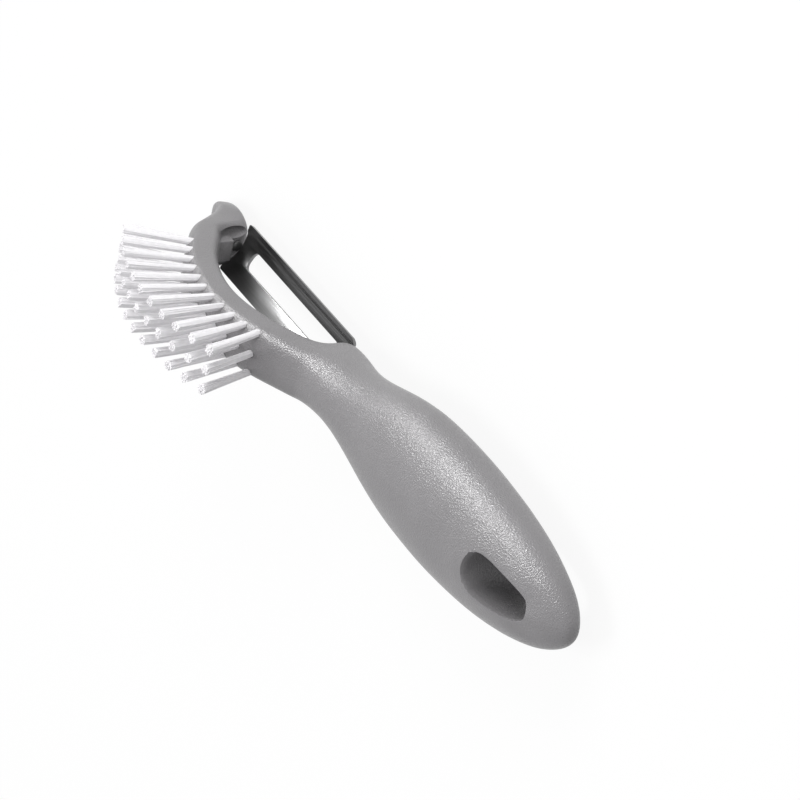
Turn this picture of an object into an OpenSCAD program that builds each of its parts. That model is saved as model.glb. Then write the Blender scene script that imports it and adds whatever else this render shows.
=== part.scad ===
// Vegetable brush with a swivelling peeler blade and a pointed scoop at its tip.
// The brush lies with its bristles up: X runs along the tool towards the scoop,
// Y runs across the rows of bristles, and Z points up out of the bristles.
// Every piece is drawn in the side view first, with the blade's axis at y = 0 and z = 0
// and the blade's neck end at x = 0, and is then stood up by place().

/* [Grip] */
// Length of the handle from the blade's neck end to the butt
handle_l = 114.6; // [105:0.2:130]
// Width of the grip at its widest, across the bristle rows
grip_w = 32; // [28:0.5:36]
// Thickness of the grip at its thickest
grip_t = 21.2; // [18.5:0.2:24]
// Distance of the grip's widest place from the blade's neck end
grip_mid = 62; // [56:1:70]
// Height of the grip's centre line above the blade's axis
grip_rise = 4.2; // [3.5:0.1:5]
// How far the centre line drops again by the butt
butt_drop = 2; // [0:0.1:3]
// Width of the waist between the grip and the shoulder
waist_w = 16.2; // [14.5:0.2:19]
// Thickness of the waist
waist_t = 16.8; // [15:0.2:19]
// Height of the waist's centre line above the blade's axis
waist_rise = 4.9; // [4.4:0.1:5.6]
// Distance of the waist from the blade's neck end
waist_x = 13; // [11:0.5:17]

/* [Hanging hole] */
// Distance of the hole's middle from the blade's neck end
hang_x = 92.4; // [88:0.2:96]
// Length of the hole along the grip
hang_l = 25; // [20:0.5:28]
// Width of the hole at its wide end
hang_w = 11; // [8:0.2:13]
// Width of the hole at the end next to the butt
hang_tail_w = 6.4; // [5:0.2:8]

/* [Shoulder] */
// Width of the shoulder face that the blade turns against
shoulder_w = 14.2; // [13.4:0.2:16]
// Depth of the shoulder below the blade's axis
shoulder_drop = 4; // [3.4:0.1:5]
// Radius of the inside corner between the shoulder and the bow
corner_r = 7; // [5.5:0.5:8]

/* [Bow] */
// Radius of the bow's outer face, which carries the bristles
bow_r = 51.6; // [49:0.2:56]
// Height of the outer face above the blade's axis at the top of the bow
bow_h = 23.8; // [23:0.1:26]
// Distance of the top of the bow from the blade's neck end
bow_top = 26.1; // [24.5:0.1:27.5]
// Width of the bow across the bristle rows
bow_w = 13; // [12.8:0.1:14.2]
// Thickness of the bow
bow_t = 8; // [7:0.1:8.6]
// Thickness of the bow at its root next to the shoulder
root_t = 9.6; // [8.6:0.1:10.4]
// Lowest height of the bow's inner face above the blade's axis, next to the tip wall
bow_low = 6.4; // [6.2:0.1:7]

/* [Scoop] */
// Length of the scoop from the blade's tip end to the point
scoop_l = 19.9; // [17.5:0.1:22]
// Width of the scoop at its widest
scoop_w = 12.4; // [11.4:0.2:13.6]
// Depth of the rim below the blade's axis at the tip wall
rim_drop = 3; // [2.6:0.1:3.6]
// Depth of the rim below the blade's axis at the point
point_drop = 6; // [5:0.1:6.3]
// Width of the rim round the hollow
rim_t = 1.1; // [0.9:0.1:1.6]
// Depth of the hollow behind the rim
hollow_d = 2.6; // [1.8:0.1:2.8]

/* [Blade stop] */
// Width of the stop block above the blade's tip end
stop_w = 6; // [5:0.2:6.4]
// Height of the stop block's lower face above the blade's axis
stop_h = 2.3; // [2:0.1:2.8]
// Length of the stop block out from the tip wall
stop_l = 2.6; // [2:0.1:3.4]

/* [Blade] */
// Length of the blade between its two ends, without its pins
blade_l = 56.5; // [54:0.5:59]
// Width of the blade over its two rails
blade_w = 13.2; // [12.2:0.1:13.4]
// Thickness of the blade's sheet
blade_t = 0.8; // [0.6:0.05:0.9]
// Depth of the channel from the rail edges to its floor
blade_d = 2.6; // [2.2:0.1:2.9]
// Height of the rail edges above the blade's axis
rail_h = 1.5; // [1.3:0.1:1.6]
// Length of the slot
slot_l = 45.4; // [40:0.2:46]
// Width of the slot
slot_w = 4.8; // [4.2:0.1:5.2]
// Radius of the slot's corners
slot_r = 2; // [1:0.1:2]
// Radius of the blade's outer corners
blade_corner = 1.6; // [0.8:0.1:2.4]
// Radius of the pivot pins at the blade's ends
pin_r = 1.4; // [1.3:0.05:1.6]
// Length of a pivot pin beyond the blade's end
pin_l = 3.6; // [2.6:0.1:4]
// Running clearance of a pin in its bore, on the radius
pin_fit = 0.06; // [0.03:0.01:0.1]
// Play between the blade's ends and the faces that hold it
end_play = 0.4; // [0.3:0.05:0.6]
// Turn of the blade about its axis as it lies
blade_turn = 28; // [0:1:36]

/* [Bristles] */
// Spacing of the tufts along the bow
tuft_pitch = 4.58; // [4.2:0.02:4.8]
// Spacing of the rows
row_gap = 5.2; // [4.6:0.1:5.3]
// Angle of the middle tuft from the top of the bow, towards the tip
field_turn = 4.5; // [2:0.5:6]
// Free length of the bristles
bristle_l = 16.2; // [12:0.2:22]
// Radius of a tuft's hole in the bow
tuft_r = 0.98; // [0.85:0.01:1.1]
// Depth of a tuft's hole
tuft_depth = 4.2; // [3.6:0.1:4.6]
// Clearance of a tuft's root in its hole, on the radius
tuft_fit = 0.03; // [0.02:0.01:0.05]
// Radius of a tuft at its free end
tuft_spread = 1.4; // [1.2:0.05:1.7]
// Thickness of one strand
strand_d = 0.44; // [0.36:0.01:0.46]
// Height of the staple that holds a tuft's fold
staple_h = 1.3; // [1:0.1:1.6]
// Thickness of the staple
staple_t = 0.3; // [0.2:0.02:0.4]
// Play between a staple and the wall of its hole or fold
staple_fit = 0.02; // [0.01:0.01:0.04]

/* [Hidden] */
$fn = 48;
// Points in a section of the handle
ring_n = 28;
// How square the sections are: 2 is an ellipse
oval = 2.1;
waist_square = 2.3;
shoulder_square = 3;
bow_square = 4;
rim_square = 5;
// How far the top of the neck leans back, and how softly it runs into the bow
neck_lean = 5;
neck_blend = 5;
// Share of the shoulder's run that is its flat face
face_share = 0.4;
// The bow ends this far before the tip wall, and the inner line reaches the wall at this share of the run
curl_run = 6.5;
inner_share = 0.375;
// The curve of the scoop's back: its middle and its end past the tip wall, and its height there
curl_mid = 5;
curl_lift = 1.8;
back_run = 9.8;
back_h = 2;
curl_share = 0.86;
dip_x = 11.4;
dip_y = -1.4;
point_t = 2.4;
// The scoop's width at the tip wall, and where along the scoop it is widest
leaf_root = 0.94;
leaf_wide = 0.22;
// Each tuft is a node of its own, so the rows and their tufts are fixed
row_names = ["a", "b", "c"];
tufts_in_row = 11;
strands = 12;
root_gap = 0.25;
// How deep a pin's root reaches into the blade
pin_root = 1;

shoulder_x = -end_play;
wall_x = blade_l + end_play;
tip_x = blade_l + scoop_l;
bow_cy = bow_h - bow_r;
bow_in = bow_r - bow_t;
root_in = bow_r - root_t;
tuft_step = tuft_pitch / bow_r * 180 / PI;
rest_h = grip_t / 2 - grip_rise;
grip_end = handle_l - grip_mid;

// The name of the node of one tuft
function tuft_name(r, i) = str("tuft_", row_names[r], i < 10 ? "0" : "", i);

// A smooth step from 0 to 1
function ease(s) = (1 - cos(180 * s)) / 2;
function mix(a, b, s) = a + (b - a) * s;

// Heights of the bow's outer and inner circles at a place along the tool
function outer_y(x) = bow_cy + sqrt(bow_r * bow_r - pow(x - bow_top, 2));
function inner_y(x) = bow_cy + sqrt(bow_in * bow_in - pow(x - bow_top, 2));
function arc_point(r, a) = [bow_top + r * sin(a), bow_cy + r * cos(a)];

// A section of the handle: its lowest and highest point in the side view, half its width,
// the level of its widest place as a share of its height, and how square it is above and below
function section(low, high, half_w, level, top_e, low_e) = [low, high, half_w, level, top_e, low_e];

// The points of one section, in a plane through its lowest and highest point
function section_points(s) = [
    for (k = [0:ring_n - 1])
        let (t = 360 * k / ring_n,
            c = cos(t),
            e = c >= 0 ? s[4] : s[5],
            rise = c >= 0
                ? mix(s[3], 1, pow(c, 2 / e))
                : mix(s[3], 0, pow(-c, 2 / e)),
            side = sign(sin(t)) * pow(abs(sin(t)), 2 / e),
            p = s[0] + (s[1] - s[0]) * rise)
        [p[0], p[1], s[2] * side]
];

// A closed skin over a row of rings of points
module skin(rings) {
    n = len(rings[0]);
    last = (len(rings) - 1) * n;
    sides = [
        for (j = [0:len(rings) - 2]) for (k = [0:n - 1])
            let (a = j * n + k, b = j * n + (k + 1) % n)
            each [[a, b + n, b], [a, a + n, b + n]]
    ];
    ends = [
        for (k = [1:n - 2])
            each [[0, k, k + 1], [last, last + k + 1, last + k]]
    ];
    polyhedron([for (r = rings) each r], concat(sides, ends), convexity = 6);
}
module loft(sections) {
    skin([for (s = sections) section_points(s)]);
}

// The butt and the back half of the grip are close to an ellipse in every view
function butt_sections() = [
    for (a = [4, 11, 20, 30, 41, 53, 65, 78])
        let (x = -grip_mid - grip_end * cos(a), y = grip_rise - butt_drop * pow(cos(a), 2), t = grip_t / 2 * sin(a))
        section([x, y - t], [x, y + t], grip_w / 2 * sin(a), 0.5, oval, oval)
];

// The front half of the grip narrows to the waist
function grip_sections() = [
    for (i = [0:8])
        let (s = i / 8,
            x = mix(-grip_mid, -waist_x, s),
            y = mix(grip_rise, waist_rise, ease(s)),
            t = mix(grip_t, waist_t, ease(s)) / 2)
        section([x, y - t], [x, y + t], mix(grip_w, waist_w, ease(pow(s, 1.6))) / 2, 0.5,
            mix(oval, waist_square, s), mix(oval, waist_square, s))
];

// The neck's top line follows the waist and then the bow's outer circle
function neck_top(x) = let (w = waist_rise + waist_t / 2, c = outer_y(x))
    (w + c + sqrt(pow(w - c, 2) + neck_blend)) / 2;
function neck_sections() = [
    for (i = [1:5])
        let (s = i / 5,
            x = mix(-waist_x, shoulder_x, s),
            low = mix(waist_rise - waist_t / 2, -shoulder_drop, ease(s)),
            top_x = x - neck_lean * s * s)
        section([x, low], [top_x, neck_top(top_x)], mix(waist_w, shoulder_w, ease(s)) / 2, 0.5,
            mix(waist_square, shoulder_square, s), mix(waist_square, shoulder_square, s))
];

// The corner between the shoulder face and the bow's inner face is round
corner_x = shoulder_x + corner_r;
bow_from = asin((corner_x - bow_top) / (root_in - corner_r));
corner_y = bow_cy + (root_in - corner_r) * cos(bow_from);
function shoulder_sections() = [
    for (i = [1:6])
        let (s = i / 6,
            a = mix(180, 90 - bow_from, max(0, (s - face_share) / (1 - face_share))),
            low = s < face_share
                ? [shoulder_x, mix(-shoulder_drop, corner_y, s / face_share)]
                : [corner_x + corner_r * cos(a), corner_y + corner_r * sin(a)],
            top_x = mix(shoulder_x - neck_lean, arc_point(bow_r, bow_from)[0], s))
        section(low, [top_x, neck_top(top_x)], mix(shoulder_w, bow_w, s) / 2, 0.5,
            mix(shoulder_square, bow_square, s), mix(shoulder_square, bow_square, s))
];

// The bow itself: sections fanned about the bow's centre, thicker at the root
bow_to = asin((wall_x - curl_run - bow_top) / bow_in);
function bow_sections() = [
    for (i = [1:12])
        let (a = mix(bow_from, bow_to, i / 12), r = mix(root_in, bow_in, ease(min(1, i / 7))))
        section(arc_point(r, a), arc_point(bow_r, a), bow_w / 2, 0.5, bow_square, bow_square)
];

// Past the bow the outer line curls down to the scoop's back, and the inner line drops down the tip wall
curl_from = arc_point(bow_r, bow_to);
curl_to = [wall_x + back_run, back_h];
function curl(s) = let (p = curl_from, q = [wall_x + curl_mid, outer_y(wall_x + curl_mid) + curl_lift],
    r = curl_to)
    pow(1 - s, 2) * p + 2 * s * (1 - s) * q + s * s * r;
function wall_sections() = [
    for (i = [1:8])
        let (s = i / 8,
            high = curl(mix(0, curl_share, s)),
            x = s < inner_share ? mix(wall_x - curl_run, wall_x, s / inner_share) : wall_x,
            low_y = s < inner_share
                ? max(inner_y(x), bow_low)
                : mix(bow_low, -rim_drop, (s - inner_share) / (1 - inner_share)))
        section([x, low_y], high, mix(bow_w, scoop_w * leaf_root, s) / 2, mix(0.5, 0.3, s),
            mix(bow_square, shoulder_square, s), mix(bow_square, rim_square, s))
];

// The scoop's outline is a leaf: its half width at a share of its length
function leaf(s) = scoop_w / 2 * (s < leaf_wide
    ? mix(leaf_root, 1, ease(s / leaf_wide))
    : pow(1 - pow((s - leaf_wide) / (1 - leaf_wide), 1.9), 0.75));
function rim_y(s) = mix(-rim_drop, -point_drop, pow(s, 0.8));
function back_point(s) = let (p = curl(curl_share), q = [wall_x + dip_x, dip_y],
    r = [tip_x, rim_y(1) + point_t])
    pow(1 - s, 2) * p + 2 * s * (1 - s) * q + s * s * r;
function scoop_sections() = [
    for (s = [0.1, 0.22, 0.36, 0.5, 0.64, 0.76, 0.86, 0.94, 0.99])
        let (low = [mix(wall_x, tip_x, s), rim_y(s)])
        section(low, back_point(s), leaf(s), 0.3, mix(shoulder_square, 2.2, s), rim_square)
];

// The hollow of the scoop, drawn a little past the rim so that it cuts through
module scoop_hollow() {
    from = 0.2;
    to = 0.93;
    loft([
        for (i = [0:10])
            let (s = mix(from, to, 0.02 + 0.96 * i / 10),
                u = (s - from) / (to - from),
                k = sqrt(1 - pow(2 * u - 1, 2)),
                x = mix(wall_x, tip_x, s),
                y = rim_y(s))
            section([x, y - 1], [x, y + hollow_d * pow(k, 0.8)], max(0.3, (leaf(s) - rim_t) * pow(k, 0.5)),
                0.3, 2, 4)
    ]);
}

// The hanging hole is a teardrop: two circles and the straight sides that touch them both,
// each circle given by its place and its radius
hang_big = [-hang_x + hang_l / 2 - hang_w / 2, hang_w / 2];
hang_small = [-hang_x - hang_l / 2 + hang_tail_w / 2, hang_tail_w / 2];
module hang_outline() {
    hull()
        for (c = [hang_big, hang_small])
            translate([c[0], 0])
                circle(c[1]);
}

module hang_hole() {
    rotate([90, 0, 0])
        linear_extrude(2 * grip_t, center = true)
            hang_outline();
}

// One tuft's place on the bow: its own z axis points out of the hole
module at_tuft(r, i) {
    a = field_turn + (tufts_in_row / 2 + 0.5 - i) * tuft_step;
    p = arc_point(bow_r, a);
    translate([p[0], p[1], (1 - r) * row_gap])
        rotate([0, 0, 90 - a])
            rotate([0, 90, 0])
                children();
}

module handle_body() {
    difference() {
        union() {
            loft(concat(butt_sections(), grip_sections(), neck_sections(), shoulder_sections(),
                bow_sections(), wall_sections(), scoop_sections()));
            translate([wall_x - stop_l, stop_h, -stop_w / 2])
                cube([stop_l + 1, bow_low + 2 - stop_h, stop_w]);
        }
        hang_hole();
        scoop_hollow();
        for (x = [shoulder_x - pin_l - end_play, wall_x - 1])
            translate([x, 0, 0])
                rotate([0, 90, 0])
                    cylinder(h = pin_l + end_play + 1, r = pin_r + pin_fit);
        for (r = [0:2]) for (i = [1:tufts_in_row])
            at_tuft(r, i)
                translate([0, 0, -tuft_depth])
                    cylinder(h = tuft_depth + 1, r = tuft_r);
    }
}

// The blade's sheet is a shallow channel of even thickness, open towards the bow
chan_r = (pow(blade_w / 2, 2) + pow(blade_d, 2)) / (2 * blade_d);
chan_turn = asin(blade_w / 2 / chan_r);
module channel() {
    translate([0, rail_h - blade_d + chan_r, 0])
        rotate([0, 90, 0])
            rotate([0, 0, -90 - chan_turn])
                rotate_extrude(angle = 2 * chan_turn)
                    translate([chan_r, 0])
                        square([blade_t, blade_l]);
}
module round_slab(x, y, r) {
    translate([blade_l / 2, 0]) {
        square([x - 2 * r, y], center = true);
        square([x, y - 2 * r], center = true);
        for (u = [-1, 1]) for (v = [-1, 1])
            translate([u * (x / 2 - r), v * (y / 2 - r)])
                circle(r);
    }
}
module blade_body() {
    intersection() {
        channel();
        rotate([90, 0, 0])
            linear_extrude(4 * blade_d, center = true)
                difference() {
                    round_slab(blade_l, blade_w, blade_corner);
                    round_slab(slot_l, slot_w, slot_r);
                }
    }
    for (x = [-pin_l, blade_l - pin_root])
        translate([x, 0, 0])
            rotate([0, 90, 0])
                cylinder(h = pin_l + pin_root, r = pin_r);
}

// A tuft: a root that fills its hole, folded over the staple, and a fan of strands
function strand_ring(k) = k < 3 ? [0.27, 0.5, 120 * k] : [0.73, tuft_spread - strand_d / 2, 40 * k + 20];
module strand(k, r, i) {
    g = strand_ring(k);
    l = bristle_l * (1 - 0.035 * abs(sin(97 * k + 41 * i + 67 * r)));
    points = [
        for (z = [-root_gap - 0.4, l]) for (j = [0:2])
            let (d = z > 0 ? g[1] : g[0], a = g[2] + 120 * j)
            [d * cos(g[2]) + strand_d / 2 * cos(a), d * sin(g[2]) + strand_d / 2 * sin(a), z]
    ];
    polyhedron(points, [
        [0, 1, 2], [5, 4, 3],
        for (j = [0:2])
            let (q = (j + 1) % 3)
            each [[j, q + 3, q], [j, j + 3, q + 3]]
    ]);
}
module tuft_body(r, i) {
    at_tuft(r, i) {
        difference() {
            translate([0, 0, -tuft_depth])
                cylinder(h = tuft_depth - root_gap, r = tuft_r - tuft_fit, $fn = 12);
            translate([0, 0, -tuft_depth])
                cube([staple_t + 2 * staple_fit, 3 * tuft_r, 2 * (staple_h + staple_fit)], center = true);
        }
        for (k = [0:strands - 1])
            strand(k, r, i);
    }
}

module staple_body(r, i) {
    w = 2 * sqrt(pow(tuft_r - staple_fit, 2) - pow(staple_t / 2, 2));
    at_tuft(r, i)
        translate([-staple_t / 2, -w / 2, -tuft_depth])
            cube([staple_t, w, staple_h]);
}

// Stands the side view up and puts the origin under the middle of the tool
module place() {
    translate([(handle_l - tip_x) / 2, 0, rest_h])
        rotate([90, 0, 0])
            children();
}

module handle() {
    color("#8e8f91") place() handle_body();
}
module blade() {
    color("#b9bcbf") place() rotate([blade_turn, 0, 0]) blade_body();
}
module one_tuft(r, i) {
    color("#ecebef") place() tuft_body(r, i);
}
module tuft_staples() {
    color("#a9a292") place()
        for (r = [0:2]) for (i = [1:tufts_in_row])
            staple_body(r, i);
}

handle();
blade();
tuft_staples();
for (r = [0:2]) for (i = [1:tufts_in_row])
    one_tuft(r, i);
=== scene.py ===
import bpy
import math
import random
from mathutils import Matrix, Vector


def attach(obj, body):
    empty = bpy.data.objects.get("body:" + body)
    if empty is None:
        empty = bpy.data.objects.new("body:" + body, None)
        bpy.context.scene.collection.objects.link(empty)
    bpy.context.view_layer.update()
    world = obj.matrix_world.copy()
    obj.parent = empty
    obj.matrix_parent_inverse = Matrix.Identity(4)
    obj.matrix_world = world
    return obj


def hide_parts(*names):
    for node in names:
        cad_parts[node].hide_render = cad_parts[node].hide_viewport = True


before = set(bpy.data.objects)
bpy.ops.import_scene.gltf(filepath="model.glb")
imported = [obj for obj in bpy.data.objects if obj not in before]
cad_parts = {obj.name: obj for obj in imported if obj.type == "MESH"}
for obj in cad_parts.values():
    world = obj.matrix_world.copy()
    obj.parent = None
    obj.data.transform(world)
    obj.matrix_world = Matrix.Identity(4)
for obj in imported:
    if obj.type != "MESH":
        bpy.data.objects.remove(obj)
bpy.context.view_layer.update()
bpy.ops.object.select_all(action="DESELECT")
mm = 0.001

# The camera looks down on the brush from over its butt end, with a long lens.
# It is rolled so that the bristles point left in the picture and the butt lies low on the right.
camera_data = bpy.data.cameras.new("camera")
camera_data.lens = 193.39
camera_data.sensor_width = 36
camera_data.clip_start = 0.05
camera = bpy.data.objects.new("camera", camera_data)
bpy.context.scene.collection.objects.link(camera)
right = Vector((-0.45814, -0.19815, -0.86651)).normalized()
up = Vector((0.51215, -0.85561, -0.07513))
up = (up - right * up.dot(right)).normalized()
back = right.cross(up)
standpoint = Vector((-0.71928, -0.47465, 0.48970))
camera.matrix_world = Matrix.Translation(standpoint) @ Matrix((right, up, back)).transposed().to_4x4()
bpy.context.scene.camera = camera

# The brush lies on a plain white sweep. The sweep keeps a soft shadow,
# and the camera and polished metal see it as white.
bpy.ops.mesh.primitive_plane_add(size=4, location=(0, 0, 0))
floor = bpy.context.object
floor.name = "floor"
floor_paint = bpy.data.materials.new("floor_paint")
floor_paint.use_nodes = True
tree = floor_paint.node_tree
tree.nodes.clear()
out = tree.nodes.new("ShaderNodeOutputMaterial")
mix = tree.nodes.new("ShaderNodeMixShader")
plain = tree.nodes.new("ShaderNodeBsdfDiffuse")
white = tree.nodes.new("ShaderNodeEmission")
white.inputs["Color"].default_value = (1, 1, 1, 1)
white.inputs["Strength"].default_value = 1
path = tree.nodes.new("ShaderNodeLightPath")
share = tree.nodes.new("ShaderNodeMath")
share.operation = "MULTIPLY"
share.inputs[1].default_value = 0.9
seen = tree.nodes.new("ShaderNodeMath")
seen.operation = "MAXIMUM"
through = tree.nodes.new("ShaderNodeMath")
through.operation = "MAXIMUM"
bounce = tree.nodes.new("ShaderNodeMapRange")
bounce.inputs["To Min"].default_value = 0.4
bounce.inputs["To Max"].default_value = 0.8
tree.links.new(path.outputs["Is Camera Ray"], seen.inputs[0])
tree.links.new(path.outputs["Is Glossy Ray"], seen.inputs[1])
tree.links.new(seen.outputs[0], through.inputs[0])
tree.links.new(path.outputs["Is Transmission Ray"], through.inputs[1])
tree.links.new(through.outputs[0], share.inputs[0])
tree.links.new(through.outputs[0], bounce.inputs["Value"])
tree.links.new(bounce.outputs[0], plain.inputs["Color"])
tree.links.new(share.outputs[0], mix.inputs["Fac"])
tree.links.new(plain.outputs[0], mix.inputs[1])
tree.links.new(white.outputs[0], mix.inputs[2])
tree.links.new(mix.outputs[0], out.inputs["Surface"])
floor.data.materials.append(floor_paint)

# The studio is an even pale tent with three lamps. Two round soft ones, beside the brush and over it,
# give the light. A long narrow one gives nothing but the band of gloss along the handle.
world = bpy.data.worlds.new("studio")
bpy.context.scene.world = world
world.use_nodes = True
tree = world.node_tree
tree.nodes.clear()
out = tree.nodes.new("ShaderNodeOutputWorld")
tent = tree.nodes.new("ShaderNodeBackground")
tent.inputs["Color"].default_value = (0.95, 0.95, 0.96, 1)
tent.inputs["Strength"].default_value = 0.68
tree.links.new(tent.outputs[0], out.inputs["Surface"])
for name, place, shape, size, power in [
        ("long_lamp", (0.41, -0.46, 0.45), "RECTANGLE", (0.54, 0.2), 8.5),
        ("side_lamp", (0.0, -0.75, 0.25), "ELLIPSE", (0.6, 0.6), 4.5),
        ("top_lamp", (0.15, 0.05, 0.9), "ELLIPSE", (0.5, 0.5), 4)]:
    lamp_data = bpy.data.lights.new(name, "AREA")
    lamp_data.shape = shape
    lamp_data.size, lamp_data.size_y = size
    lamp_data.energy = power
    lamp = bpy.data.objects.new(name, lamp_data)
    gloss_only = shape == "RECTANGLE"
    back_of_lamp = Vector(place)
    if gloss_only:
        back_of_lamp.x = 0
    back_of_lamp.normalize()
    side_of_lamp = Vector((1, 0, 0))
    side_of_lamp = (side_of_lamp - back_of_lamp * side_of_lamp.dot(back_of_lamp)).normalized()
    lamp.matrix_world = Matrix.Translation(place) @ Matrix(
        (side_of_lamp, back_of_lamp.cross(side_of_lamp), back_of_lamp)).transposed().to_4x4()
    lamp.visible_diffuse = not gloss_only
    lamp.visible_glossy = gloss_only
    bpy.context.scene.collection.objects.link(lamp)
bpy.context.scene.view_settings.view_transform = "Standard"

# The handle is one injection moulding in grey plastic with a fine grained skin.
# Its grip swells from the butt, narrows to a waist, and runs on as the bow into the tip wall and scoop.
# Each station gives the ring's middle along and above, half its width, half its thickness and its lean.
grip_stations = [
    (-95.4, 8.6, 1.4, 0.9, 0), (-94.6, 8.7, 3.2, 2.1, 0), (-92.3, 8.8, 5.6, 3.6, 0),
    (-89.2, 9.0, 7.7, 5.1, 0), (-86.0, 9.3, 9.4, 6.1, 0), (-81.5, 9.6, 11.0, 7.3, 0),
    (-76.5, 9.8, 12.5, 8.3, 0), (-70.5, 10.0, 13.8, 9.1, 0), (-65.4, 10.2, 14.6, 9.7, 0),
    (-61.0, 10.3, 15.1, 10.1, 0), (-55.0, 10.4, 15.7, 10.35, 0), (-48.5, 10.5, 16.1, 10.6, 0),
    (-42.0, 10.6, 16.2, 10.7, 0), (-36.0, 10.6, 16.1, 10.6, 0), (-30.0, 10.7, 15.9, 10.35, 0),
    (-24.5, 10.8, 15.3, 10.1, 0), (-18.4, 11.0, 14.2, 9.6, 0), (-12.3, 11.1, 12.5, 9.2, 0),
    (-6.1, 11.2, 10.6, 8.8, 0), (0.0, 11.3, 9.0, 8.6, 0), (6.1, 11.3, 8.2, 8.6, 0)]
bow_stations = [
    (16.2, 12.0, 7.1, 9.2, 15), (16.5, 13.2, 7.1, 8.1, 16), (16.9, 15.0, 6.9, 6.6, 17),
    (17.8, 16.6, 6.7, 5.6, 22), (19.5, 18.0, 6.6, 5.1, 32), (23.1, 20.0, 6.6, 4.9, 28),
    (27.2, 22.1, 6.6, 4.7, 23), (31.5, 23.8, 6.6, 4.6, 17), (35.9, 25.1, 6.6, 4.4, 11),
    (40.5, 25.9, 6.6, 4.2, 6), (45.2, 26.3, 6.6, 4.1, 0), (49.9, 26.1, 6.6, 4.1, -6),
    (54.5, 25.4, 6.6, 4.1, -11), (59.1, 24.2, 6.6, 4.1, -17), (63.5, 22.7, 6.6, 4.1, -23),
    (67.7, 20.6, 6.6, 4.1, -28), (71.7, 18.2, 6.6, 4.1, -34), (75.0, 16.3, 6.5, 4.0, -28),
    (77.0, 15.2, 6.4, 3.7, -26), (78.2, 12.4, 6.3, 4.2, -36), (79.1, 10.3, 6.1, 4.8, -42),
    (80.3, 7.3, 6.0, 5.6, -47), (82.3, 5.9, 6.3, 4.5, -45), (84.9, 4.9, 6.1, 3.6, -40),
    (87.3, 4.2, 5.4, 2.9, -34), (89.6, 3.7, 4.5, 2.7, -27), (91.6, 3.2, 3.5, 2.4, -19),
    (93.4, 2.7, 2.4, 2.0, -10), (94.9, 2.2, 1.2, 1.5, -3)]


def run_rings(stations):
    """Extrudes the selected face from station to station, from a ring of radius one millimetre."""
    here = (stations[0][0], stations[0][1], 1.0, 1.0, 0)
    for number, there in enumerate(stations):
        if number:
            bpy.ops.mesh.extrude_region_move()
        middle = Vector((here[0], 0, here[1])) * mm
        bpy.ops.transform.rotate(value=math.radians(-here[4]), orient_axis="Y", center_override=middle)
        bpy.ops.transform.resize(value=(1, there[2] / here[2], there[3] / here[3]), center_override=middle)
        bpy.ops.transform.translate(value=((there[0] - here[0]) * mm, 0, (there[1] - here[1]) * mm))
        middle = Vector((there[0], 0, there[1])) * mm
        bpy.ops.transform.rotate(value=math.radians(there[4]), orient_axis="Y", center_override=middle)
        here = there


half_step = math.radians(7.5)
bpy.ops.mesh.primitive_circle_add(vertices=24, radius=mm, fill_type="NGON",
                                  location=(grip_stations[0][0] * mm, 0, grip_stations[0][1] * mm),
                                  rotation=(math.pi / 2, half_step, math.pi / 2))
grip = bpy.context.object
bpy.ops.object.transform_apply()
bpy.ops.object.mode_set(mode="EDIT")
bpy.ops.mesh.select_all(action="SELECT")
run_rings(grip_stations)
bpy.ops.mesh.delete(type="ONLY_FACE")
bpy.ops.object.mode_set(mode="OBJECT")

# The bow's ring is a square with rounded corners, so it starts as a plane with bevelled corners.
bpy.ops.mesh.primitive_plane_add(size=2 * mm,
                                 location=(bow_stations[0][0] * mm, 0, bow_stations[0][1] * mm),
                                 rotation=(math.pi / 2, 0, math.pi / 2))
bow = bpy.context.object
bpy.ops.object.transform_apply()
bpy.ops.object.mode_set(mode="EDIT")
bpy.ops.mesh.select_all(action="SELECT")
bpy.ops.mesh.bevel(offset=0.62 * mm, segments=5, affect="VERTICES", profile=0.5)
bpy.ops.mesh.select_all(action="SELECT")
run_rings(bow_stations)
bpy.ops.object.mode_set(mode="OBJECT")
bpy.ops.object.select_all(action="DESELECT")
bow.select_set(True)
grip.select_set(True)
bpy.context.view_layer.objects.active = grip
bpy.ops.object.join()
handle = grip
handle.name = "handle_moulding"


def pick_faces(piece, wanted):
    """In edit mode, selects the faces that the rule wants, and nothing else."""
    bpy.ops.mesh.select_mode(type="FACE")
    bpy.ops.mesh.select_all(action="DESELECT")
    bpy.ops.object.mode_set(mode="OBJECT")
    for face in piece.data.polygons:
        face.select = wanted(face)
    bpy.ops.object.mode_set(mode="EDIT")


def bridge_open_edges(cuts, crease=0.0):
    """In edit mode, joins the two open loops of edges by a skin with some loops in between."""
    bpy.ops.mesh.select_mode(type="EDGE")
    bpy.ops.mesh.select_all(action="DESELECT")
    bpy.ops.mesh.select_non_manifold(extend=False, use_wire=False, use_boundary=True,
                                     use_multi_face=False, use_non_contiguous=False, use_verts=False)
    bpy.ops.transform.edge_crease(value=crease)
    bpy.ops.mesh.bridge_edge_loops(number_cuts=cuts)


# The end face of the waist and that of the bow are taken out, and the shoulder's skin joins them.
shoulder_start, shoulder_end = 10 * mm, 20 * mm
bpy.ops.object.mode_set(mode="EDIT")
pick_faces(handle, lambda face: len(face.vertices) > 4 and shoulder_start < face.center.x < shoulder_end)
bpy.ops.mesh.delete(type="ONLY_FACE")
bridge_open_edges(1)

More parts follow.
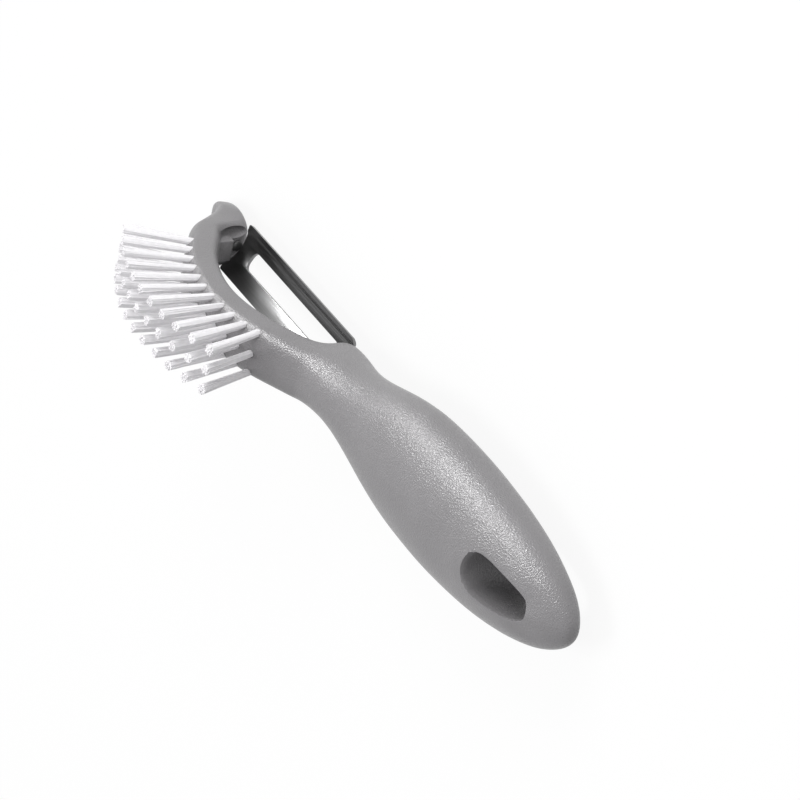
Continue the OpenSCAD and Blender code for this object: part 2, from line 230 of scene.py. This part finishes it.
# The hanging hole is a teardrop, wide end inwards, that goes through the grip from the bristle side.
# The faces over it are taken out on both sides, its edges are drawn in, and the two are bridged.
# Each station gives the half width and the shift of the outer pair of points, then of the inner.
teardrop = {-86.0: (2.7, 1.7, 1.0, 0.5), -81.5: (4.0, 0, 0, 0), -76.5: (4.9, 0, 0, 0),
            -70.5: (5.5, 0, 0, 0), -65.4: (5.0, -2.6, 0, 0), -61.0: (3.7, -5.6, 1.5, -4.6)}
half_widths = {station[0]: station[2] for station in grip_stations}
hole_start, hole_end, hole_side = min(teardrop) * mm, max(teardrop) * mm, 4.1 * mm
pick_faces(handle, lambda face: hole_start < face.center.x < hole_end and abs(face.center.y) < hole_side)
bpy.ops.mesh.delete(type="FACE")
bpy.ops.object.mode_set(mode="OBJECT")
on_ring = 0.02 * mm
for vertex in handle.data.vertices:
    for station, (outer, outer_shift, inner, inner_shift) in teardrop.items():
        across = abs(vertex.co.y) / half_widths[station] / mm
        if abs(vertex.co.x - station * mm) < on_ring and across < 0.5:
            half, shift = (inner, inner_shift) if across < 0.25 else (outer, outer_shift)
            vertex.co.x += shift * mm
            vertex.co.y = math.copysign(half * mm, vertex.co.y)
            break
bpy.ops.object.mode_set(mode="EDIT")
bridge_open_edges(4, crease=0.45)
bpy.ops.mesh.select_all(action="SELECT")
bpy.ops.mesh.normals_make_consistent(inside=False)

# The top of the waist runs over into the foot of the bow in one soft curve, so that place is
# smoothed first. Then the whole skin is.
neck_start, neck_end, neck_height = 2 * mm, 21 * mm, 15 * mm
pick_faces(handle, lambda face: neck_start < face.center.x < neck_end and face.center.z > neck_height)
bpy.ops.mesh.vertices_smooth(factor=0.5, repeat=3)
bpy.ops.object.mode_set(mode="OBJECT")
smooth = handle.modifiers.new("smooth", "SUBSURF")
smooth.levels = smooth.render_levels = 2
bpy.ops.object.modifier_apply(modifier="smooth")

# The stop block stands out from the tip wall over the blade's end, and the rails come up to it.
# On both sides of the block the inside corner of the tip is dished out to a thin rim.
bpy.ops.mesh.primitive_cube_add(size=1, location=(76.35 * mm, 0, 12.25 * mm),
                                scale=(5.7 * mm, 5.8 * mm, 6.9 * mm))
block = bpy.context.object
bpy.ops.object.mode_set(mode="EDIT")
bpy.ops.mesh.bevel(offset=0.4 * mm, segments=3, affect="EDGES")
bpy.ops.object.mode_set(mode="OBJECT")
bpy.ops.object.transform_apply()


def cut(piece, tool, operation):
    """Joins a tool body to a piece, or cuts it out of the piece, and takes the tool away."""
    modifier = piece.modifiers.new("cut", "BOOLEAN")
    modifier.operation = operation
    modifier.solver = "EXACT"
    modifier.object = tool
    bpy.ops.object.select_all(action="DESELECT")
    bpy.context.view_layer.objects.active = piece
    piece.select_set(True)
    bpy.ops.object.modifier_apply(modifier="cut")
    bpy.data.objects.remove(tool)


for side in (-3.9, 3.9):
    bpy.ops.mesh.primitive_uv_sphere_add(segments=48, ring_count=24, radius=1,
                                         location=(71.0 * mm, side * mm, 7.6 * mm),
                                         scale=(7.0 * mm, 2.3 * mm, 6.0 * mm))
    dish = bpy.context.object
    bpy.ops.object.transform_apply()
    cut(handle, dish, "DIFFERENCE")
cut(handle, block, "UNION")

# The underside of the scoop is hollowed out to a sharp rimmed leaf, which narrows towards the point.
hollow_half_l, leaf_taper = 7.0 * mm, 0.45
bpy.ops.mesh.primitive_uv_sphere_add(segments=40, ring_count=20, radius=1, location=(0, 0, 0))
hollow = bpy.context.object
hollow.scale = (hollow_half_l, 4.9 * mm, 2.7 * mm)
bpy.ops.object.transform_apply()
for vertex in hollow.data.vertices:
    toward_point = max(0, vertex.co.x / hollow_half_l)
    vertex.co.y *= 1 - leaf_taper * toward_point ** 2
hollow.rotation_euler = (0, math.radians(8.5), 0)
hollow.location = (86.9 * mm, 0, 1.45 * mm)
bpy.ops.object.transform_apply()
cut(handle, hollow, "DIFFERENCE")

# A shallow relief in the shoulder lets the blade's corners swing past the root of the bow.
# Two blind bores hold the blade's pins, and 33 holes in the bow hold the tufts.
blade_axis = 6.4 * mm
relief_r, bore_r = 7.1 * mm, 1.46 * mm
for middle, radius, depth, sides in ((19.85, relief_r, 1.8 * mm, 96),
                                     (17.0, bore_r, 4.6 * mm, 32), (77.8, bore_r, 4.6 * mm, 32)):
    bpy.ops.mesh.primitive_cylinder_add(vertices=sides, radius=radius, depth=depth,
                                        location=(middle * mm, 0, blade_axis),
                                        rotation=(0, math.pi / 2, 0))
    bpy.ops.object.transform_apply()
    cut(handle, bpy.context.object, "DIFFERENCE")
row_x, row_z, row_r = 45.2, -21.4, 51.6
middle_turn, turn_step, middle_number = 4.5, 5.0856, 6
tuft_places = []
for row, across in (("a", -5.2), ("b", 0.0), ("c", 5.2)):
    for number in range(1, 12):
        turn = math.radians(middle_turn + (middle_number - number) * turn_step)
        foot = Vector((row_x + row_r * math.sin(turn), across, row_z + row_r * math.cos(turn))) * mm
        tuft_places.append((f"tuft_{row}{number:02d}", foot, turn))
hole_r, hole_depth, hole_sink = 0.98 * mm, 5.2 * mm, 1.6 * mm
holes = []
for name, foot, turn in tuft_places:
    outwards = Vector((math.sin(turn), 0, math.cos(turn)))
    bpy.ops.mesh.primitive_cylinder_add(vertices=20, radius=hole_r, depth=hole_depth,
                                        location=foot - hole_sink * outwards, rotation=(0, turn, 0))
    holes.append(bpy.context.object)
for hole in holes:
    hole.select_set(True)
bpy.ops.object.join()
bpy.ops.object.transform_apply()
cut(handle, bpy.context.object, "DIFFERENCE")
bpy.ops.object.shade_smooth_by_angle(angle=math.radians(50))

# Moulded, rolled and drawn surfaces share one kind of fine grain, each at a size of its own:
# a mask of small spots and the bump that they make.
grain = bpy.data.node_groups.new("fine_grain", "ShaderNodeTree")
for name, way, kind in (("Position", "INPUT", "NodeSocketVector"), ("Size", "INPUT", "NodeSocketFloat"),
                        ("Depth", "INPUT", "NodeSocketFloat"), ("Spots", "OUTPUT", "NodeSocketFloat"),
                        ("Normal", "OUTPUT", "NodeSocketVector")):
    grain.interface.new_socket(name, in_out=way, socket_type=kind)
grain_in = grain.nodes.new("NodeGroupInput")
grain_out = grain.nodes.new("NodeGroupOutput")
speckle = grain.nodes.new("ShaderNodeTexNoise")
speckle.inputs["Detail"].default_value = 2
speckle.inputs["Roughness"].default_value = 0.55
relief = grain.nodes.new("ShaderNodeBump")
relief.inputs["Strength"].default_value = 1
grain.links.new(grain_in.outputs["Position"], speckle.inputs["Vector"])
grain.links.new(grain_in.outputs["Size"], speckle.inputs["Scale"])
grain.links.new(grain_in.outputs["Depth"], relief.inputs["Distance"])
grain.links.new(speckle.outputs["Fac"], relief.inputs["Height"])
grain.links.new(speckle.outputs["Fac"], grain_out.inputs["Spots"])
grain.links.new(relief.outputs["Normal"], grain_out.inputs["Normal"])


def new_material(name):
    """Starts a material with the object's own coordinates and a Principled BSDF."""
    material = bpy.data.materials.new(name)
    material.use_nodes = True
    tree = material.node_tree
    shader = tree.nodes["Principled BSDF"]
    coordinates = tree.nodes.new("ShaderNodeTexCoord")
    return material, tree, shader, coordinates.outputs["Object"]


def add_grain(tree, position, size, depth):
    """Places the shared grain in a material."""
    node = tree.nodes.new("ShaderNodeGroup")
    node.node_tree = grain
    tree.links.new(position, node.inputs["Position"])
    node.inputs["Size"].default_value = size
    node.inputs["Depth"].default_value = depth
    return node


def add_ramp(tree, source, stops):
    """Turns a mask into a colour or a value, by two stops of place and colour."""
    ramp = tree.nodes.new("ShaderNodeValToRGB")
    for element, (place, colour) in zip(ramp.color_ramp.elements, stops):
        element.position, element.color = place, colour
    tree.links.new(source, ramp.inputs["Fac"])
    return ramp.outputs["Color"]


def grey(level, warmth=0.0):
    """A grey, with a little more red and blue for warmth."""
    return (level * (1 + warmth), level, level * (1 + warmth), 1)


plastic, tree, shader, position = new_material("grained_grey_plastic")
moulded = add_grain(tree, position, 2500, 0.0002)
clouds = tree.nodes.new("ShaderNodeTexNoise")
clouds.inputs["Scale"].default_value = 60
clouds.inputs["Detail"].default_value = 3
tree.links.new(position, clouds.inputs["Vector"])
cloudy_grey = add_ramp(tree, clouds.outputs["Fac"], [(0.3, grey(0.19, 0.03)), (0.7, grey(0.21, 0.03))])
tree.links.new(cloudy_grey, shader.inputs["Base Color"])
tree.links.new(add_ramp(tree, moulded.outputs["Spots"], [(0.38, grey(0.38)), (0.62, grey(0.28))]),
               shader.inputs["Roughness"])
tree.links.new(moulded.outputs["Normal"], shader.inputs["Normal"])
shader.inputs["IOR"].default_value = 1.6
handle.data.materials.clear()
handle.data.materials.append(plastic)
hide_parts("handle")
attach(handle, "handle_body")

# The blade is one stainless sheet pressed into a shallow channel, with a long slot whose edges cut.
# A fine line is pressed into the rail on the near side. The blade lies between the shoulder and the
# tip wall and swivels on a pin at each end.
blade_l, blade_w, blade_middle = 56.5, 13.2, 47.35 * mm
slot_l, slot_w = 45.4, 4.8
sheet_t = 0.8 * mm
bend, bend_over_axis, half_arc = 9.677 * mm, 8.577 * mm, math.radians(43)
channel_middle = blade_axis + bend_over_axis
bpy.ops.mesh.primitive_cylinder_add(vertices=192, radius=bend + sheet_t / 2, depth=blade_l * mm,
                                    end_fill_type="NOTHING", location=(blade_middle, 0, channel_middle),
                                    rotation=(0, math.pi / 2, 0))
blade = bpy.context.object
blade.name = "peeler_blade"
bpy.ops.object.transform_apply()
bpy.ops.object.mode_set(mode="EDIT")
channel_top = channel_middle - bend * math.cos(half_arc)
pick_faces(blade, lambda face: face.center.z > channel_top)
bpy.ops.mesh.delete(type="FACE")
bpy.ops.mesh.select_all(action="SELECT")
bpy.ops.mesh.normals_make_consistent(inside=False)
bpy.ops.object.mode_set(mode="OBJECT")
line_h, line_w, line_from_middle = 0.25 * mm, 0.45 * mm, 4.9 * mm
for vertex in blade.data.vertices:
    vertex.co.z += line_h * math.exp(-((vertex.co.y + line_from_middle) / line_w) ** 2)
sheet = blade.modifiers.new("sheet", "SOLIDIFY")
sheet.thickness = sheet_t
sheet.offset = 0
bpy.ops.object.modifier_apply(modifier="sheet")


def slab(length, width, corner):
    """Adds a tall slab through the blade's middle, whose four upright corners are round."""
    reach = 8 * mm
    bpy.ops.object.select_all(action="DESELECT")
    bpy.ops.mesh.primitive_plane_add(size=1, location=(blade_middle, 0, blade_axis - reach))
    tool = bpy.context.object
    tool.scale = (length * mm, width * mm, 1)
    bpy.ops.object.transform_apply()
    bpy.ops.object.mode_set(mode="EDIT")
    bpy.ops.mesh.select_all(action="SELECT")
    bpy.ops.mesh.bevel(offset=corner * mm, segments=8, affect="VERTICES")
    bpy.ops.mesh.select_all(action="SELECT")
    bpy.ops.mesh.extrude_region_move(TRANSFORM_OT_translate={"value": (0, 0, 2 * reach)})
    bpy.ops.mesh.select_all(action="SELECT")
    bpy.ops.mesh.normals_make_consistent(inside=False)
    bpy.ops.object.mode_set(mode="OBJECT")
    return tool


cut(blade, slab(blade_l, blade_w, 1.6), "INTERSECT")
cut(blade, slab(slot_l, slot_w, 2.0), "DIFFERENCE")
edges = blade.modifiers.new("edges", "BEVEL")
edges.width = 0.14 * mm
edges.segments = 2
edges.limit_method = "ANGLE"
edges.angle_limit = math.radians(50)
bpy.ops.object.modifier_apply(modifier="edges")
pin_r, pin_l = 1.4 * mm, 3.7 * mm
for pin_middle in (17.35, 77.35):
    bpy.ops.mesh.primitive_cylinder_add(vertices=32, radius=pin_r, depth=pin_l,
                                        location=(pin_middle * mm, 0, blade_axis),
                                        rotation=(0, math.pi / 2, 0))
    pin = bpy.context.object
    bpy.ops.object.transform_apply()
    bpy.ops.object.mode_set(mode="EDIT")
    pick_faces(pin, lambda face: len(face.vertices) > 4)
    bpy.ops.mesh.bevel(offset=0.3 * mm, segments=2, affect="EDGES")
    bpy.ops.object.mode_set(mode="OBJECT")
    cut(blade, pin, "UNION")
lean = Matrix.Rotation(math.radians(28), 4, "X")
to_axis = Matrix.Translation((0, 0, blade_axis))
from_axis = Matrix.Translation((0, 0, -blade_axis))
blade.data.transform(to_axis @ lean @ from_axis)
bpy.ops.object.shade_smooth_by_angle(angle=math.radians(30))
steel, tree, shader, position = new_material("polished_steel")
along = tree.nodes.new("ShaderNodeMapping")
along.inputs["Scale"].default_value = (0.03, 1, 1)
tree.links.new(position, along.inputs["Vector"])
rolled = add_grain(tree, along.outputs["Vector"], 2600, 0.0000005)
tree.links.new(add_ramp(tree, rolled.outputs["Spots"], [(0.3, grey(0.2)), (0.7, grey(0.24))]),
               shader.inputs["Base Color"])
tree.links.new(add_ramp(tree, rolled.outputs["Spots"], [(0.3, grey(0.3)), (0.7, grey(0.34))]),
               shader.inputs["Roughness"])
tree.links.new(rolled.outputs["Normal"], shader.inputs["Normal"])
shader.inputs["Metallic"].default_value = 1
blade.data.materials.clear()
blade.data.materials.append(steel)
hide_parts("blade")
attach(blade, "blade_body")

# The bristles are white nylon filaments, folded over a staple in the bottom of each hole.
# A tuft fans out a little from its hole, its filaments are cut to nearly the same length, and the
# packed ones in its middle are one plain core. Four tufts are made, and each hole gets a copy of one.
bristle_l, root_l, filament_r = 15.8 * mm, 2.4 * mm, 0.24 * mm
core_foot_r, core_tip_r, core_l, core_middle = 0.82 * mm, 1.16 * mm, 17.7 * mm, 6.45 * mm
tuft_kinds, strands_in_tuft, golden_turn = 4, 26, 2.39996
foot_spread, tip_spread = 0.73, 1.2
bpy.ops.object.select_all(action="DESELECT")
bpy.ops.mesh.primitive_circle_add(vertices=6, radius=filament_r, fill_type="NGON",
                                  location=(0, 0, -root_l))
filament = bpy.context.object
bpy.ops.object.transform_apply()
bpy.ops.object.mode_set(mode="EDIT")
bpy.ops.mesh.select_all(action="SELECT")
for rise in (6.4, 5.0, 4.2, 2.6):
    bpy.ops.mesh.extrude_region_move(TRANSFORM_OT_translate={"value": (0, 0, rise * mm)})
bpy.ops.transform.resize(value=(0.8, 0.8, 1))
bpy.ops.mesh.select_all(action="SELECT")
bpy.ops.mesh.normals_make_consistent(inside=False)
bpy.ops.object.mode_set(mode="OBJECT")
draw = random.Random(7)
tufts = []
for variant in range(tuft_kinds):
    bpy.ops.mesh.primitive_cone_add(vertices=16, radius1=core_foot_r, radius2=core_tip_r, depth=core_l,
                                    location=(0, 0, core_middle))
    bpy.ops.object.transform_apply()
    strands = [bpy.context.object]
    for strand in range(strands_in_tuft):
        share_out = math.sqrt((strand + 0.5) / strands_in_tuft)
        around = strand * golden_turn + variant * 1.3
        foot_r = foot_spread * mm * share_out
        tip_r = (tip_spread * share_out + draw.uniform(-0.12, 0.14)) * mm
        stretch = 1 - draw.uniform(0, 0.045)
        sway = Vector((draw.uniform(-0.12, 0.12), draw.uniform(-0.12, 0.12), 0)) * mm
        mesh = filament.data.copy()
        for vertex in mesh.vertices:
            rise = max(0, vertex.co.z / bristle_l)
            reach = foot_r + (tip_r - foot_r) * rise ** 1.25
            vertex.co.z *= stretch if rise else 1
            spread = Vector((math.cos(around), math.sin(around), 0)) * reach
            vertex.co += spread + sway * math.sin(rise * math.pi)
        piece = bpy.data.objects.new("strand", mesh)
        bpy.context.scene.collection.objects.link(piece)
        strands.append(piece)
    bpy.ops.object.select_all(action="DESELECT")
    for piece in strands:
        piece.select_set(True)
    bpy.context.view_layer.objects.active = strands[0]
    bpy.ops.object.join()
    bpy.ops.object.shade_smooth_by_angle(angle=math.radians(80))
    tufts.append(strands[0])
bpy.data.objects.remove(filament)
nylon, tree, shader, position = new_material("white_nylon")
streaks = tree.nodes.new("ShaderNodeTexNoise")
streaks.inputs["Scale"].default_value = 900
streaks.inputs["Detail"].default_value = 2
tree.links.new(position, streaks.inputs["Vector"])
streaky_white = add_ramp(tree, streaks.outputs["Fac"],
                         [(0.3, (0.79, 0.78, 0.795, 1)), (0.7, (0.85, 0.84, 0.855, 1))])
tree.links.new(streaky_white, shader.inputs["Base Color"])
shader.inputs["Roughness"].default_value = 0.6
for name, foot, turn in tuft_places:
    mesh = tufts[draw.randrange(tuft_kinds)].data.copy()
    mesh.transform(Matrix.Translation(foot) @ Matrix.Rotation(turn, 4, "Y")
                   @ Matrix.Rotation(draw.uniform(0, 2 * math.pi), 4, "Z"))
    mesh.materials.clear()
    mesh.materials.append(nylon)
    tuft = bpy.data.objects.new(name.replace("tuft_", "bristles_"), mesh)
    bpy.context.scene.collection.objects.link(tuft)
    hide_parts(name)
    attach(tuft, "handle_body")
for tuft in tufts:
    bpy.data.objects.remove(tuft)

# The staples are short pieces of flat drawn wire, pressed across the bottom of the tufts' holes
# over the fold of the bristles. The CAD node stays and gets its metal here.
wire, tree, shader, position = new_material("staple_wire")
drawn = add_grain(tree, position, 3000, 0.00001)
drawn_metal = add_ramp(tree, drawn.outputs["Spots"],
                       [(0.3, (0.45, 0.42, 0.35, 1)), (0.7, (0.6, 0.57, 0.5, 1))])
tree.links.new(drawn_metal, shader.inputs["Base Color"])
tree.links.new(add_ramp(tree, drawn.outputs["Spots"], [(0.3, grey(0.3)), (0.7, grey(0.45))]),
               shader.inputs["Roughness"])
tree.links.new(drawn.outputs["Normal"], shader.inputs["Normal"])
shader.inputs["Metallic"].default_value = 1
for material_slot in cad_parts["tuft_staples"].material_slots:
    material_slot.material = wire
